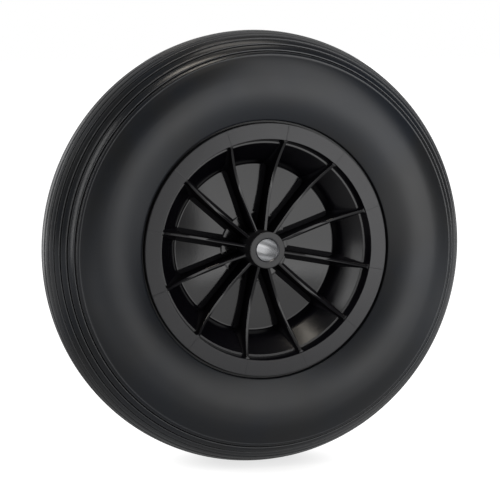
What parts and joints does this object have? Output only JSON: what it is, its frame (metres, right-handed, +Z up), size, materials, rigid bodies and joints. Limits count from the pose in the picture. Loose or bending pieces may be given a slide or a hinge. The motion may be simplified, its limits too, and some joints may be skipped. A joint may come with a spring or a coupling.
{
  "type": "wheelbarrow wheel",
  "caption": "Wheelbarrow wheel: a solid foam tyre with a grooved tread on a one-piece ribbed plastic rim with a steel sleeve for the axle.",
  "frame": {"origin": "centre of the wheel, on the axle's axis in the middle plane", "axes": "+Y along the axle's axis, away from the pictured face; +Z up as the wheel stands"},
  "size_m": [0.4, 0.1, 0.4],
  "materials": {
    "tyre": "dark grey moulded foam with a satin skin",
    "rim": "black injection-moulded plastic, satin",
    "sleeve": "bright drawn steel tube"
  },
  "bodies": {
    "root": {"tyre": "tyre", "rim": "rim", "hub_sleeve": "sleeve"}
  },
  "joints": []
}
